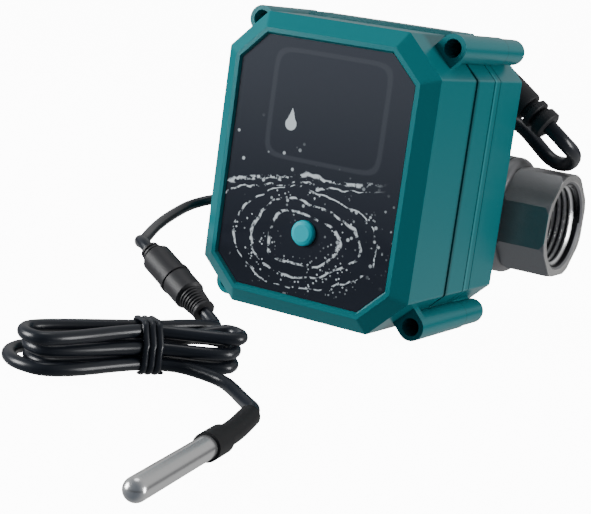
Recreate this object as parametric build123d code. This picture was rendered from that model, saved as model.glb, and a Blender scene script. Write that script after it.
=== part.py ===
from build123d import *

import os
from math import acos, atan2, cos, degrees, hypot, pi, radians, sin, sqrt, tan

# A motor-driven ball valve for a water pipe, with a plastic drive casing on a stainless valve body.
# Everything is drawn from the casing's centre: x to the right along the pipe, y back from the
# casing's front, z up. The last section moves it all so that the origin is on the floor.

# The casing, an upright box with its four corners cut off, in two halves
case_width = 67.5
case_height = 84.0
corner_width = 11.4
corner_height = 11.2
corner_radius = 1.0
case_wall = 2.4
cover_depth = 43.0
shell_depth = 18.4
overrun = 1.0
slip = 0.1

# The front cover: sloping rim, flat border, sunk label, and the lines round its sides
rim_depth = 3.5
rim_width = 4.4
border_width = 1.75
label_slope = 0.5
label_sink = 0.8
label_thickness = 0.7
front_wall = 2.5
groove_stand = 17.0
groove_width = 1.3
groove_depth = 0.7
seam_stand = 4.2
seam_width = 0.45
seam_depth = 0.35
ridge_height = 1.1
ridge_overhang = 1.2

# Corner screw bosses outside the cut corners, the rear ones a little slimmer
boss_inset_x = 2.95
boss_inset_z = 2.9
boss_radius = 4.0
boss_rear_radius = 3.75
boss_front = 13.5
boss_back_inset = 3.7
boss_round = 3.0
boss_web = 3.0
boss_plate = 3.0
pocket_radius = 2.6
pocket_stand = 9.0
case_screw_radius = 1.5
case_screw_tip = 3.2
screw_head_radius = 2.4
screw_head_height = 2.2
drive_radius = 1.15
drive_depth = 1.2

# The rear shell: edge highlights, tongue, gasket
shell_edge = 0.5
back_slope = 2.5
tongue_depth = 2.0
tongue_root = 4.0
tongue_thickness = 1.2
gasket_inset = 0.75
gasket_width = 0.9
gasket_height = 0.8

# The manual button and the switch behind it
button_z = -17.4
button_radius = 3.6
button_stand = 1.6
button_dome = 0.7
button_edge = 0.4
button_skirt = 4.8
button_skirt_thickness = 1.0
button_gap = 0.25
button_travel = 0.5
plunger_radius = 1.75
plunger_length = 2.4
switch_size = 6.0
switch_height = 3.5

# The circuit board and what it carries
board_front = 11.0
board_thickness = 1.6
board_gap = 1.2
board_post_inset_x = 12.75
board_post_inset_z = 11.0
board_post_radius = 2.8
board_screw_radius = 1.0
board_screw_head = 1.9
board_screw_head_height = 1.4
board_screw_depth = 5.0
module_width = 16.0
module_height = 22.0
module_thickness = 0.8
module_can = 11.5
module_can_height = 2.4
module_x = -12.0
module_drop = 24.5
terminal_width = 15.0
terminal_height = 8.0
terminal_depth = 9.0
terminal_x = 10.5
terminal_drop = 16.0
terminal_ways = 4
terminal_hole = 1.3
capacitor_radius = 4.0
capacitor_length = 11.0
capacitor_x = 12.0
capacitor_drop = 30.0
capacitor_step = 9.5
driver_size = 9.0
driver_thickness = 1.7
driver_x = -9.0
driver_drop = 17.5

# The gearbox: two plates, four pillars, and four meshing pairs. The places along its shafts are
# measured back from the front plate's inner face.
plate_thickness = 2.0
plate_spacing = 19.0
post_length = 2.0
plate_left_inset = 8.75
plate_right_inset = 4.45
plate_bottom_inset = 9.0
plate_top_inset = 9.5
plate_corner = 6.0
pillar_inset = 4.4
pillar_radius = 2.2
pillar_screw_radius = 1.1
pillar_screw_head = 2.0
pillar_screw_head_height = 1.4
pillar_screw_grip = 1.4
post_radius = 3.4
gear_module = 0.7
pressure_angle = 25
addendum_share = 0.9
dedendum_share = 1.15
backlash = 0.13
output_teeth = 48
wheel_teeth = 40
pinion_teeth = 12
output_gear_place = 11.2
output_gear_width = 4.4
wheel_width = 2.3
axle_radius = 1.5
running_gap = 0.05
end_play = 0.3
hub_radius = 2.6
first_wheel_place = 0.8
first_pinion_end = 6.6
second_wheel_place = 4.0
second_pinion_end = 10.2
third_hub_place = 6.9
third_wheel_place = 7.5
main_axle_angle = 144
side_axle_angle = 70
motor_angle = 250
relief_radius = 9.5
relief_count = 5
relief_hole_radius = 2.2

# The motor and its pinion
motor_radius = 12.2
motor_gap = 2.6
motor_cap_depth = 3.0
motor_cap_radius = 11.2
motor_nose_radius = 3.5
motor_shaft_radius = 1.0
motor_tab_width = 2.4
motor_tab_thickness = 0.5
motor_tab_length = 2.0
motor_tab_spread = 7.0
motor_screw_spread = 8.5
motor_screw_radius = 1.2
motor_screw_head = 2.2
motor_screw_depth = 3.0
motor_screw_angles = (200, 340)
motor_pinion_reach = 3.9

# Output shaft, bearing bushes, position cam and its two limit switches
shaft_front_radius = 3.0
shaft_radius = 5.0
shaft_stand = 5.4
bush_wall = 1.6
bush_flange = 1.2
bush_flange_radius = 8.0
cam_stand = 4.8
cam_width = 3.0
cam_radius = 6.6
cam_lobe_radius = 8.6
cam_lobe_width = 6.0
limit_gap = 0.3
limit_plunger = 0.8
limit_plunger_radius = 0.8
limit_depth = 5.6
limit_reach = 6.0
limit_length = 12.0

# The valve: ball centre, ports, body and end cap
ball_x = 13.0
pipe_stand = 24.6
pipe_z = -12.5
ball_radius = 14.0
flow_radius = 9.0
port_reach = 31.5
thread_radius = 13.22
thread_start = 17.5
mouth_bevel = 1.0
barrel_flats = 31.6
barrel_sides = 8
barrel_mouth_radius = 16.4
barrel_bevel = 1.4
chamber_reach = 15.5
chamber_radius = 18.5
chamber_round = 2.6
chamber_bore = 14.6
chamber_half = 9.5
spigot_radius = 16.2
cap_seam = 11.6
seam_bevel = 0.6
seal_thickness = 0.9
seat_radius = 13.0
seat_inner = 8.9
seat_outer = 12.9
seat_gap = 0.05

# Stem, its seals, and the mounting neck that the casing sits on
stem_radius = 5.0
stem_square = 6.0
stem_square_length = 6.4
stem_flange_radius = 6.6
stem_flange = 1.8
stem_pocket_radius = 7.0
tang_width = 4.4
tang_length = 11.0
tang_depth = 3.0
tang_gap = 0.1
washer_thickness = 0.8
seal_section = 1.3
seal_step = 2.1
neck_radius = 11.0
pad_size = 31.0
pad_thickness = 4.0
pad_corner = 4.0
valve_screw_spread = 11.0
valve_screw_radius = 2.0
valve_screw_head = 3.7
valve_screw_grip = 3.6
socket_wall_gap = 0.3

# Outlets of the two cords
cord_diameter = 4.6
lead_diameter = 3.2
outlet_x = 16.2
outlet_drop = 8.8
outlet_stand = 9.6
outlet_radius = 5.4
outlet_flange_radius = 6.2
outlet_flange = 1.6
outlet_tilt = 32.4
outlet_length = 28.0
outlet_ring_radii = (4.6, 3.9)
outlet_ring_width = 3.0
outlet_ring_gap = 1.0
outlet_neck_radius = 3.2
gland_stand = 9.0
gland_z = -17.0
gland_radius = 4.2
gland_flange = 1.2
gland_reach = 3.6
gland_tip_radius = 2.5

# Both cords: how much of the shorter run an arc takes, the gap between turns, the gap to the floor
arc_share = 0.45
turn_gap = 0.5
floor_gap = 0.1

# Power cord: its free stretch, the coil of its put-away length behind the casing, and its plug.
# The distances back are measured from the pipe.
cord_run = 7.0
power_route = [
    (49.7, -10.9, 10.4), (50.1, -4.4, 7.9), (46.1, 1.2, 6.6), (39.5, 4.0, 6.6), (31.8, 6.5, 9.0),
    (23.5, 8.5, 13.8), (12.0, 10.0, 17.6), (-2.0, 12.0, 17.4), (-13.0, 15.0, 11.0), (-20.0, 18.0, 1.0),
    (-23.5, 20.0, -10.0), (-26.0, 21.0, -21.0), (-30.0, 21.2, -30.5), (-37.0, 20.4, -37.4),
    (-47.0, 19.4, -40.6),
]
coil_x = -74.0
coil_stand = 52.0
coil_radius = 33.0
coil_turns = 3
coil_climb_inset = 1.2
plug_route = [(17.0, 0.0, -0.3), (34.0, 0.0, -2.4)]
plug_radius = 5.0
plug_relief_radius = 3.2
plug_relief = 12.0
plug_length = 24.0
plug_round = 1.2
plug_barrel_radius = 2.75
plug_barrel_bore = 1.25
plug_barrel = 9.5
plug_bore_depth = 9.0

# Sensor lead: from the casing to its connector, then to the hank, then to the probe
lead_run = 5.0
casing_route = [
    (-47.8, 31.0, -17.5), (-50.4, 24.8, -18.1), (-49.6, 17.5, -18.5), (-46.0, 8.0, -19.0),
    (-40.4, -5.0, -19.6),
    (-34.8, -18.0, -20.0), (-30.4, -29.5, -20.0), (-27.4, -38.5, -19.8),
]
connector_start = (-17.9, -47.2, -22.0)
connector_end = (6.6, -55.6, -32.0)
boot_radius = 2.7
boot_length = 3.0
connector_radius = 4.0
connector_half = 9.5
coupling_radius = 4.3
coupling_width = 1.4
socket_half = 8.4
neck_radius_small = 2.8
neck_rib_radius = 3.4
neck_rib_width = 0.9
neck_rib_gap = 0.7
connector_cap_radius = 3.9
connector_cap = 1.6
middle_route = [(13.0, -60.2, -33.8), (11.9, -63.3, -33.4)]

# Hank: loops tied at the waist in three layers; each end has its reach, middle, radius and layer
waist_x = 8.5
waist_y = -78.0
hank_angle = 53.13
hank_ends = [
    (-33.5, 3.0, 8.6, 2), (19.8, 2.2, 4.6, 2), (-31.2, 3.4, 6.6, 1), (19.4, 0.0, 8.6, 1),
    (-30.0, 0.6, 7.6, 0), (19.4, -0.2, 7.4, 0), (-34.9, 1.2, 12.2, 0),
]
waist_places = [
    (0.0, -6.4, 2), (0.0, 3.6, 2), (0.0, 0.0, 1), (0.0, 6.6, 1),
    (0.0, -4.0, 1), (0.0, 2.2, 0), (0.0, -8.0, 0), (-3.2, 9.0, 0),
]
tie_width = 4.0
tie_thickness = 0.8
tie_slack = 0.15
probe_route = [
    (23.1, -77.4, -40.6), (28.1, -77.6, -41.0), (32.5, -80.2, -41.3), (37.3, -84.3, -41.3),
    (42.2, -89.0, -40.9),
]

# Temperature probe: a shrunk sleeve over the joint, and a closed steel tube
sleeve_points = [(49.0, -99.3, -39.9), (52.9, -111.2, -39.9), (55.6, -125.6, -39.9)]
sleeve_radius = 2.45
sleeve_wide_radius = 3.1
sleeve_overlap = 3.0
probe_radius = 2.5
probe_length = 34.0


def front(y):
    """The upright plane at one depth, drawn as it is seen from the front."""
    return Plane(origin=(0, y, 0), x_dir=(1, 0, 0), z_dir=(0, -1, 0))


def block(outline, start, end):
    """An outline drawn from the front, run back from one depth to another."""
    return extrude(front(start) * outline, amount=end - start, dir=(0, 1, 0))


def disc(radius, x=0, z=0):
    return Pos(x, z) * Circle(radius)


def cylinder(radius, start, end, x=0, z=0):
    """A round bar along y."""
    return block(disc(radius, x, z), start, end)


def tapered(outline_a, outline_b, start, end):
    """A solid that runs evenly from one outline to a like one further back."""
    sections = [front(start) * outline_a, front(end) * outline_b]
    return loft(sorted(sections, key=lambda section: section.area), ruled=True)


def octagon(inset=0.0, radius=0.0):
    """The casing's outline seen from the front, drawn in by an even inset."""
    slope = hypot(corner_width, corner_height)
    cut_x = corner_width - inset + inset * (slope - corner_width) / corner_height
    cut_z = corner_height - inset + inset * (slope - corner_height) / corner_width
    half_x = case_width / 2 - inset
    half_z = case_height / 2 - inset
    right = [
        (half_x - cut_x, half_z),
        (half_x, half_z - cut_z),
        (half_x, cut_z - half_z),
        (half_x - cut_x, -half_z),
    ]
    left = [(-x, z) for x, z in reversed(right)]
    outline = Sketch() + Polygon(*right, *left, align=None)
    return fillet(outline.vertices(), radius) if radius else outline


def corners(span_x, span_z):
    return [(side * span_x / 2, end * span_z / 2) for side in (-1, 1) for end in (-1, 1)]


case_depth = cover_depth + shell_depth
label_inset = rim_width + border_width
groove_place = cover_depth - groove_stand
seam_place = cover_depth - seam_stand
boss_span_x = case_width - 2 * boss_inset_x
boss_span_z = case_height - 2 * boss_inset_z
boss_back = case_depth - boss_back_inset
pocket_floor = cover_depth - pocket_stand
case_screw_end = boss_back - case_screw_tip
gland_y = cover_depth - gland_stand
pipe_y = case_depth + pipe_stand
label_floor = label_sink + label_thickness
cover_inside = label_floor + front_wall
shell_inside = case_depth - case_wall
board_back = board_front + board_thickness
boss_places = corners(boss_span_x, boss_span_z)
post_places = corners(case_width - 2 * board_post_inset_x, case_height - 2 * board_post_inset_z)
back_plate = shell_inside - post_length - plate_thickness
front_plate = back_plate - plate_spacing
inner_front = front_plate + plate_thickness

# The direction square to the cut corner, and how far each boss centre stands off that wall
corner_face = hypot(corner_width, corner_height)
boss_stand = (
    (boss_span_x / 2 - case_width / 2 + corner_width) * corner_height
    + (boss_span_z / 2 - case_height / 2) * corner_width
) / corner_face


def boss_bridge(width):
    """Bars from the four boss centres to the middle of the cut corner walls."""
    length = boss_stand + case_wall / 2
    bars = Sketch()
    for x, z in boss_places:
        turn = degrees(atan2(corner_width * z / abs(z), corner_height * x / abs(x)))
        bars += Pos(x, z) * Rot(0, 0, turn) * Pos(-length / 2, 0) * Rectangle(length, width)
    return bars


def corner_ring(start, end, depth):
    """The band taken off round the casing to leave a groove of one depth."""
    return block(octagon(-overrun) - octagon(depth), start, end)


def sideways(radius, reach):
    """A round bar through the gland's centre, out of the left wall or, where negative, into it."""
    side = Plane(origin=(-case_width / 2, gland_y, gland_z), z_dir=(-1, 0, 0))
    return extrude(side * Circle(radius), amount=reach, dir=(-1, 0, 0))


parts = {}

# Front cover. The rim slopes out from the flat border to the side walls.
cover = tapered(octagon(rim_width, corner_radius), octagon(0, corner_radius), 0, rim_depth)
cover += block(octagon(0, corner_radius), rim_depth, cover_depth)
ridge_width = case_width - 2 * corner_width + 2 * ridge_overhang
ridge_outline = Pos(0, case_height / 2) * Rectangle(ridge_width, 2 * ridge_height)
ridge_outline = fillet(ridge_outline.vertices(), ridge_height * 0.9)
cover -= corner_ring(groove_place, groove_place + groove_width, groove_depth)
cover -= corner_ring(seam_place, seam_place + seam_width, seam_depth)
cover += block(ridge_outline, groove_place + groove_width, cover_depth)
for x, z in boss_places:
    cover += cylinder(boss_radius, boss_front, cover_depth, x, z)
cover += block(boss_bridge(boss_web), boss_front, cover_depth)
cover += block(boss_bridge(2 * boss_radius), boss_front, boss_front + boss_plate)
cover -= block(octagon(case_wall), cover_inside, cover_depth)
cover -= block(octagon(label_inset), 0, label_floor)
cover -= tapered(octagon(label_inset - label_slope), octagon(label_inset), 0, label_sink)
cover -= cylinder(button_radius + slip, 0, cover_inside, 0, button_z)
for x, z in post_places:
    cover += cylinder(board_post_radius, cover_inside, board_front, x, z)
    cover -= cylinder(board_screw_radius, board_back - board_screw_depth, board_front, x, z)
for x, z in boss_places:
    cover -= cylinder(pocket_radius, boss_front, pocket_floor, x, z)
    cover -= cylinder(case_screw_radius, pocket_floor, cover_depth, x, z)
cover -= sideways(gland_tip_radius, -case_wall)
parts["front_cover"] = cover

# Label panel, a thin glossy sheet that fills the sunk face round the button
panel = block(octagon(label_inset + slip), label_sink, label_floor)
panel -= cylinder(button_radius + slip, label_sink, label_floor, 0, button_z)
parts["label_panel"] = panel

# Rear shell: side walls, back wall with sloping edges, blind bosses for the long screws
full = octagon(0, corner_radius)
shell = tapered(octagon(shell_edge, corner_radius), full, cover_depth, cover_depth + shell_edge)
shell += block(full, cover_depth + shell_edge, case_depth - back_slope)
shell += tapered(full, octagon(back_slope, corner_radius), case_depth - back_slope, case_depth)
for x, z in boss_places:
    stub = cylinder(boss_rear_radius, cover_depth, boss_back, x, z)
    stub = fillet(stub.edges().sort_by(Axis.Y)[-1], boss_round)
    shell += stub
shell += block(boss_bridge(boss_web), cover_depth, boss_back - boss_round)
shell -= block(octagon(case_wall), cover_depth, shell_inside)
tongue_hole = octagon(case_wall + tongue_thickness)
shell += block(octagon(case_wall) - tongue_hole, cover_depth, cover_depth + tongue_root)
shell += block(octagon(case_wall + slip) - tongue_hole, cover_depth - tongue_depth, cover_depth)
gasket = octagon(gasket_inset) - octagon(gasket_inset + gasket_width)
shell -= block(gasket, cover_depth, cover_depth + gasket_height)
for x, z in boss_places:
    shell -= cylinder(case_screw_radius, cover_depth, case_screw_end, x, z)

# The pipe's own frame: x is measured along it from the ball's centre
def across(x):
    """The plane square to the pipe, x from the ball's centre; its own x points back."""
    return Plane(origin=(ball_x + x, pipe_y, pipe_z), x_dir=(0, 1, 0), z_dir=(1, 0, 0))


def along(outline, start, end):
    """An outline drawn across the pipe, run along it."""
    return extrude(across(start) * outline, amount=end - start, dir=(1, 0, 0))


def bar(radius, start, end):
    return along(Circle(radius), start, end)


def cone(radius_a, radius_b, start, end):
    """A round taper along the pipe."""
    return loft([across(start) * Circle(radius_a), across(end) * Circle(radius_b)], ruled=True)


def countersunk(head, radius, rim, end, x, z):
    """A flush screw whose head lies at one depth and whose shank runs back to another."""
    neck = rim + head - radius
    screw = tapered(disc(head, x, z), disc(radius, x, z), rim, neck) + cylinder(radius, neck, end, x, z)
    return screw - cylinder(radius / 2, rim, rim + (head - radius) / 2, x, z)


# Back wall: shaft bush, four flush screws into the valve's pad, power cord outlet, gearbox posts
bush_radius = shaft_radius + running_gap + bush_wall
pad_screws = [(ball_x + x, pipe_z + z) for x, z in corners(2 * valve_screw_spread, 2 * valve_screw_spread)]
valve_screw_end = case_depth + valve_screw_grip
valve_screws = [
    countersunk(valve_screw_head, valve_screw_radius, shell_inside, valve_screw_end, x, z)
    for x, z in pad_screws
]
plate_left = plate_left_inset - case_width / 2
plate_right = case_width / 2 - plate_right_inset
plate_bottom = plate_bottom_inset - case_height / 2
plate_top = case_height / 2 - plate_top_inset
pillar_places = [
    (x, z)
    for x in (plate_left + pillar_inset, plate_right - pillar_inset)
    for z in (plate_bottom + pillar_inset, plate_top - pillar_inset)
]
pillar_screw_end = shell_inside + pillar_screw_grip
outlet_y = case_depth + outlet_stand
outlet_z = case_height / 2 - outlet_drop
for x, z in pillar_places:
    shell += cylinder(post_radius, back_plate + plate_thickness, shell_inside, x, z)
    shell -= cylinder(pillar_screw_radius, back_plate + plate_thickness, pillar_screw_end, x, z)
shell -= cylinder(bush_radius, shell_inside, case_depth, ball_x, pipe_z)
shell -= cylinder(outlet_radius, shell_inside, case_depth, outlet_x, outlet_z)
shell -= valve_screws
for x, z in pad_screws:
    shell -= cylinder(valve_screw_radius, shell_inside, case_depth, x, z)
parts["rear_shell"] = shell
parts["case_gasket"] = block(gasket, cover_depth, cover_depth + gasket_height)
parts["valve_screws"] = valve_screws


def hex_socket(x, z, rim):
    """The drive recess in a screw head."""
    return block(Pos(x, z) * RegularPolygon(drive_radius, 6), rim, rim + drive_depth)


def cap_screw(head, head_height, radius, seat, end, x, z):
    """A screw seen from the front: a round head on its seat and a shank behind."""
    screw = cylinder(head, seat - head_height, seat, x, z) + cylinder(radius, seat, end, x, z)
    return screw - hex_socket(x, z, seat - head_height)


parts["case_screws"] = [
    cap_screw(screw_head_radius, screw_head_height, case_screw_radius, pocket_floor, case_screw_end, x, z)
    for x, z in boss_places
]

# Manual button: a domed cap with a retaining skirt, on the plunger of a small push switch
button_face = label_sink - button_stand
button_inside = cover_inside + button_gap
dome_start = button_face + button_dome
switch_front = board_front - switch_height
plunger_front = switch_front + button_travel + button_gap - plunger_length
skirt_end = button_inside + button_skirt_thickness
dome_middle = button_face + button_dome / 2
dome_shoulder = disc(button_radius - button_edge, 0, button_z)
cap = cylinder(button_radius, dome_start, skirt_end, 0, button_z)
cap += tapered(dome_shoulder, disc(button_radius, 0, button_z), dome_middle, dome_start)
cap += tapered(disc(button_radius - 3 * button_edge, 0, button_z), dome_shoulder, button_face, dome_middle)
cap += cylinder(button_skirt, button_inside, skirt_end, 0, button_z)
cap -= cylinder(plunger_radius + slip, plunger_front, skirt_end, 0, button_z)
parts["manual_button"] = cap
switch_outline = Pos(0, button_z) * Rectangle(switch_size, switch_size)
switch_body = block(fillet(switch_outline.vertices(), switch_size / 12), switch_front, board_front)
throat = plunger_front + plunger_length + button_travel + button_gap
switch_body -= cylinder(plunger_radius + slip, switch_front, throat, 0, button_z)
parts["push_switch"] = switch_body
parts["switch_plunger"] = cylinder(plunger_radius, plunger_front, plunger_front + plunger_length, 0, button_z)

# Circuit board on four posts, with its radio module, terminals, capacitors and motor driver
board = block(octagon(case_wall + board_gap), board_front, board_back)
for x, z in post_places:
    board -= cylinder(board_screw_radius, board_front, board_back, x, z)
parts["circuit_board"] = board
parts["board_screws"] = [
    cylinder(board_screw_head, board_back, board_back + board_screw_head_height, x, z)
    + cylinder(board_screw_radius, board_back - board_screw_depth, board_back, x, z)
    for x, z in post_places
]


def chip(width, height, thickness, x, z, start):
    outline = Pos(x, z) * Rectangle(width, height)
    return block(fillet(outline.vertices(), min(width, height) / 12), start, start + thickness)


module_z = case_height / 2 - module_drop
module_back = board_back + module_thickness
radio = block(Pos(module_x, module_z) * Rectangle(module_width, module_height), board_back, module_back)
can_z = module_z - (module_height - module_can) / 2 + module_thickness
radio += chip(module_can, module_can, module_can_height, module_x, can_z, module_back)
parts["radio_module"] = radio
terminal_z = case_height / 2 - terminal_drop
terminals = chip(terminal_width, terminal_height, terminal_depth, terminal_x, terminal_z, board_back)
terminal_start = board_back + terminal_depth / 3
terminal_end = board_back + terminal_depth
for way in range(terminal_ways):
    way_x = terminal_x + terminal_width * ((way + 0.5) / terminal_ways - 0.5)
    terminals -= cylinder(terminal_hole, terminal_start, terminal_end, way_x, terminal_z)
parts["terminal_block"] = terminals
capacitor_z = case_height / 2 - capacitor_drop
capacitors = []
for step in (0, 1):
    capacitor_place = capacitor_x + step * capacitor_step
    can = cylinder(capacitor_radius, board_back, board_back + capacitor_length, capacitor_place, capacitor_z)
    capacitors.append(fillet(can.edges().sort_by(Axis.Y)[-1], capacitor_radius / 8))
parts["capacitors"] = capacitors
driver_z = module_z - driver_drop
parts["motor_driver"] = chip(driver_size, driver_size, driver_thickness, driver_x, driver_z, board_back)

# Gear centres. The first and third wheels turn on one axle, the second on another.
output_place = (ball_x, pipe_z)
output_reach = gear_module * (output_teeth + pinion_teeth) / 2
wheel_reach = gear_module * (wheel_teeth + pinion_teeth) / 2


def stepped(place, reach, angle):
    return (place[0] + reach * cos(radians(angle)), place[1] + reach * sin(radians(angle)))


def bearing_angle(place, other):
    return degrees(atan2(other[1] - place[1], other[0] - place[0]))


main_axle = stepped(output_place, output_reach, main_axle_angle)
side_axle = stepped(main_axle, wheel_reach, side_axle_angle)
motor_place = stepped(main_axle, wheel_reach, motor_angle)


def gear_outline(teeth, place, facing, gap=False):
    """A spur gear outline with a tooth, or a gap, on the line towards its mate."""
    pitch = gear_module * teeth / 2
    base = pitch * cos(radians(pressure_angle))
    tip = pitch + addendum_share * gear_module
    root = pitch - dedendum_share * gear_module
    start = max(base, root)

    def half_angle(radius):
        """Half a tooth's angle at one radius, from the involute of the base circle."""
        thin = (pi * gear_module / 2 - backlash / 2) / (2 * pitch)
        at_pitch = tan(radians(pressure_angle)) - radians(pressure_angle)
        roll = acos(min(base / radius, 1))
        return thin + at_pitch - (tan(roll) - roll)

    pitch_angle = 2 * pi / teeth
    turn = radians(bearing_angle(place, facing)) + (pitch_angle / 2 if gap else 0)
    points = []
    for tooth in range(teeth):
        middle = turn + tooth * pitch_angle
        low, high = half_angle(start), half_angle(tip)
        flank = [(root, -low), (start, -low)] if base > root else [(root, -low)]
        flank = flank + [(tip, -high), (tip, high)] + [(radius, -angle) for radius, angle in reversed(flank)]
        points += [(radius * cos(middle + angle), radius * sin(middle + angle)) for radius, angle in flank]
    return Pos(*place) * Polygon(*points, align=None)


def relieved(outline, place):
    """A gear wheel with a ring of round holes that lighten it."""
    for hole in range(relief_count):
        outline -= Pos(*stepped(place, relief_radius, hole * 360 / relief_count)) * Circle(relief_hole_radius)
    return outline


def compound(place, wheel_mate, pinion_mate, gap, spans):
    """A wheel, its pinion and its hub in one moulding, free on a fixed axle."""
    hub_start, wheel_start, pinion_end, hub_end = (inner_front + span for span in spans)
    wheel = relieved(gear_outline(wheel_teeth, place, wheel_mate, gap), place)
    gear = block(wheel, wheel_start, wheel_start + wheel_width)
    pinion = gear_outline(pinion_teeth, place, pinion_mate, gap)
    gear += block(pinion, wheel_start + wheel_width, pinion_end)
    gear += cylinder(hub_radius, hub_start, hub_end, *place)
    return gear - cylinder(axle_radius + running_gap, hub_start, hub_end, *place)


last_hub_end = plate_spacing - plate_thickness - end_play
parts["first_gear"] = compound(
    main_axle, motor_place, side_axle, False,
    (end_play, first_wheel_place, first_pinion_end, first_pinion_end),
)
parts["second_gear"] = compound(
    side_axle, main_axle, main_axle, True,
    (end_play, second_wheel_place, second_pinion_end, last_hub_end),
)
parts["third_gear"] = compound(
    main_axle, side_axle, output_place, False,
    (third_hub_place, third_wheel_place, last_hub_end, last_hub_end),
)
parts["gear_axles"] = [
    cylinder(axle_radius, front_plate, back_plate + plate_thickness, *place)
    for place in (main_axle, side_axle)
]

# Output gear on the output shaft, with the position cam in front of the plates
output_gear_start = inner_front + output_gear_place
output_gear_end = output_gear_start + output_gear_width
output_outline = gear_outline(output_teeth, output_place, main_axle, True)
output_outline = relieved(output_outline, output_place)
output_gear = block(output_outline, output_gear_start, output_gear_end)
output_gear -= cylinder(shaft_radius, output_gear_start, output_gear_end, *output_place)
parts["output_gear"] = output_gear
stem_square_start = case_depth + pad_thickness / 2 - stem_square_length
socket_floor = stem_square_start - socket_wall_gap
shaft_front = front_plate - shaft_stand
shaft = cylinder(shaft_front_radius, shaft_front, inner_front + end_play, *output_place)
shaft += cylinder(shaft_radius, inner_front + end_play, case_depth, *output_place)
socket = Pos(*output_place) * Rectangle(stem_square + 2 * slip, stem_square + 2 * slip)
shaft -= block(socket, socket_floor, case_depth)
parts["output_shaft"] = shaft
lobe = Circle(cam_lobe_radius) & Pos(cam_lobe_radius / 2, 0) * Rectangle(cam_lobe_radius, cam_lobe_width)
cam = Pos(*output_place) * (Circle(cam_radius) + lobe - Circle(shaft_front_radius))
cam_place = front_plate - cam_stand
parts["position_cam"] = block(cam, cam_place, cam_place + cam_width)


def limit_switch(x_out, z_out):
    """A small switch that stands on the front plate, its plunger facing the cam."""
    turn = degrees(atan2(z_out, x_out))
    face = cam_lobe_radius + limit_gap + limit_plunger
    middle = front_plate - limit_depth / 2
    body = Pos(face + limit_reach / 2, 0) * Rectangle(limit_reach, limit_length)
    body = fillet(body.vertices(), limit_reach / 12)
    switch = block(Pos(*output_place) * Rot(0, 0, turn) * body, front_plate - limit_depth, front_plate)
    pin_plane = Plane(
        origin=(ball_x + (face - limit_plunger) * x_out, middle, pipe_z + (face - limit_plunger) * z_out),
        z_dir=(x_out, 0, z_out),
    )
    return switch + extrude(pin_plane * Circle(limit_plunger_radius), amount=2 * limit_plunger)


parts["limit_switch_open"] = limit_switch(1, 0)
parts["limit_switch_closed"] = limit_switch(0, -1)

# Bushes: a plain one in the front plate, a flanged one through the rear shell's wall
front_bush_radius = shaft_front_radius + running_gap + bush_wall
front_bush = cylinder(front_bush_radius, front_plate, inner_front, *output_place)
parts["front_bush"] = front_bush - cylinder(
    shaft_front_radius + running_gap, front_plate, inner_front, *output_place
)
rear_bush = cylinder(bush_radius, shell_inside, case_depth, *output_place)
rear_bush += cylinder(bush_flange_radius, shell_inside - bush_flange, shell_inside, *output_place)
parts["rear_bush"] = rear_bush - cylinder(
    shaft_radius + running_gap, shell_inside - bush_flange, case_depth, *output_place
)


def plate(start):
    """One gearbox plate with its four screw holes and its axle holes."""
    width, height = plate_right - plate_left, plate_top - plate_bottom
    outline = Pos(plate_left + width / 2, plate_bottom + height / 2) * Rectangle(width, height)
    outline = fillet(outline.vertices(), plate_corner)
    for place in pillar_places:
        outline -= Pos(*place) * Circle(pillar_screw_radius)
    for place in (main_axle, side_axle):
        outline -= Pos(*place) * Circle(axle_radius)
    return block(outline, start, start + plate_thickness)


motor_screw_places = [stepped(motor_place, motor_screw_spread, angle) for angle in motor_screw_angles]
motor_screw_neck = inner_front - motor_screw_head / 2
motor_screws = [
    block(disc(motor_screw_radius, *place), front_plate - motor_screw_depth, motor_screw_neck)
    + tapered(disc(motor_screw_radius, *place), disc(motor_screw_head, *place), motor_screw_neck, inner_front)
    for place in motor_screw_places
]
gear_plate_front = plate(front_plate)
gear_plate_front -= cylinder(motor_nose_radius, front_plate, inner_front, *motor_place)
gear_plate_front -= cylinder(front_bush_radius, front_plate, inner_front, *output_place)
gear_plate_front -= motor_screws
for place in motor_screw_places:
    gear_plate_front -= cylinder(motor_screw_radius, front_plate, inner_front, *place)
parts["front_gear_plate"] = gear_plate_front
gear_plate_back = plate(back_plate)
gear_plate_back -= cylinder(
    bush_flange_radius + slip, back_plate, back_plate + plate_thickness, *output_place
)
parts["back_gear_plate"] = gear_plate_back
parts["gear_pillars"] = [
    cylinder(pillar_radius, inner_front, back_plate, *place)
    - cylinder(pillar_screw_radius, inner_front, back_plate, *place)
    for place in pillar_places
]
parts["gearbox_screws"] = [
    cap_screw(
        pillar_screw_head, pillar_screw_head_height, pillar_screw_radius,
        front_plate, pillar_screw_end, *place,
    )
    for place in pillar_places
]

# Drive motor with its nose in the front plate, and the rotor shaft with its pinion
motor_front = board_back + motor_gap
motor_cap_end = motor_front + motor_cap_depth
motor_pinion_end = inner_front + motor_pinion_reach
motor = cylinder(motor_radius, motor_cap_end, front_plate, *motor_place)
motor += cylinder(motor_cap_radius, motor_front, motor_cap_end, *motor_place)
motor += cylinder(motor_nose_radius, front_plate, inner_front, *motor_place)
for hand in (-1, 1):
    tab = Pos(motor_place[0] + hand * motor_tab_spread, motor_place[1])
    tab = tab * Rectangle(motor_tab_thickness, motor_tab_width)
    motor += block(tab, motor_front - motor_tab_length, motor_front)
motor -= cylinder(motor_shaft_radius + running_gap, motor_cap_end, inner_front, *motor_place)
for place in motor_screw_places:
    motor -= cylinder(motor_screw_radius, front_plate - motor_screw_depth, front_plate, *place)
parts["motor"] = motor
parts["motor_screws"] = motor_screws
parts["motor_shaft"] = cylinder(motor_shaft_radius, motor_cap_end, motor_pinion_end, *motor_place)
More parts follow.
